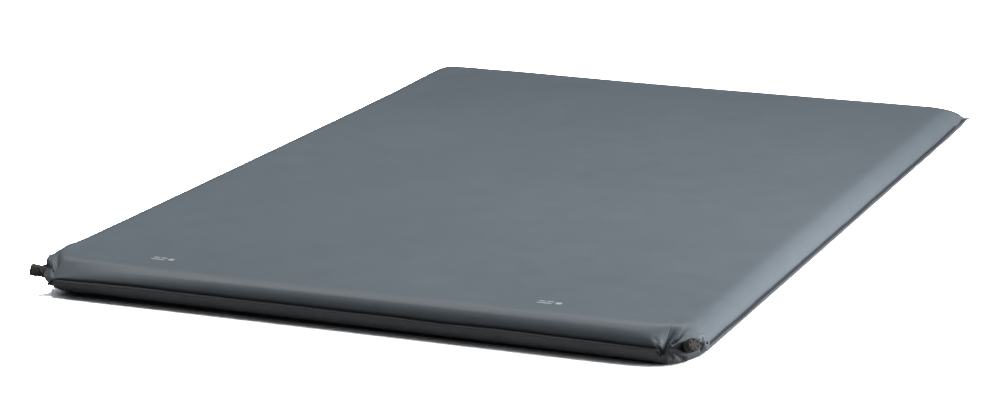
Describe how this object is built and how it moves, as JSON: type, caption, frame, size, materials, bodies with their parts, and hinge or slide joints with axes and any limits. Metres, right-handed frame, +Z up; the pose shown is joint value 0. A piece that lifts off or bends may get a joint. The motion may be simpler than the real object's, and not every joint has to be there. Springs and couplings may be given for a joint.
{
  "type": "inflatable sleeping pad",
  "caption": "Wide self-inflating sleeping mat: a foam slab bonded inside welded fabric sheets, with twist valves at the front corners.",
  "frame": {"origin": "centre of the flat underside, on the ground", "axes": "+X across the mat to the user's right seen from the valve end, +Y along the mat away from the valves, +Z up"},
  "size_m": [1.33, 1.9821, 0.07],
  "materials": {
    "top_sheet": "matte",
    "bottom_sheet": "matte",
    "foam": "matte",
    "boot_plastic": "matte",
    "valve_plastic": "satin",
    "ring_rubber": "matte",
    "seal_rubber": "matte"
  },
  "bodies": {
    "pad": {"top_cover": "top_sheet", "bottom_cover": "bottom_sheet", "foam_core": "foam", "valve_boot_left": "boot_plastic", "valve_stem_left": "valve_plastic", "valve_o_ring_left": "ring_rubber", "valve_boot_right": "boot_plastic", "valve_stem_right": "valve_plastic", "valve_o_ring_right": "ring_rubber"},
    "left_seal": {"valve_seal_left": "seal_rubber"},
    "left_cap": {"valve_cap_left": "valve_plastic"},
    "right_seal": {"valve_seal_right": "seal_rubber"},
    "right_cap": {"valve_cap_right": "valve_plastic"}
  },
  "joints": [
    {"name": "left_valve_travel", "type": "slide", "parent": "pad", "child": "left_seal", "axis": [-0.8016, -0.5306, 0.2756], "range_m": [0, 0.00481]},
    {"name": "left_cap_turn", "type": "hinge", "parent": "left_seal", "child": "left_cap", "pos_m": [-0.6402, -0.973, 0.0424], "axis": [-0.8016, -0.5306, 0.2756], "range_deg": [0, 540]},
    {"name": "right_valve_travel", "type": "slide", "parent": "pad", "child": "right_seal", "axis": [0.6409, -0.6409, 0.4226], "range_m": [0, 0.00481]},
    {"name": "right_cap_turn", "type": "hinge", "parent": "right_seal", "child": "right_cap", "pos_m": [0.6402, -0.973, 0.0424], "axis": [0.6409, -0.6409, 0.4226], "range_deg": [0, 540]}
  ],
  "couplings": [
    {"joint": "left_valve_travel", "follows": "left_cap_turn", "m_per_rad": 0.0005093},
    {"joint": "right_valve_travel", "follows": "right_cap_turn", "m_per_rad": 0.0005093}
  ]
}
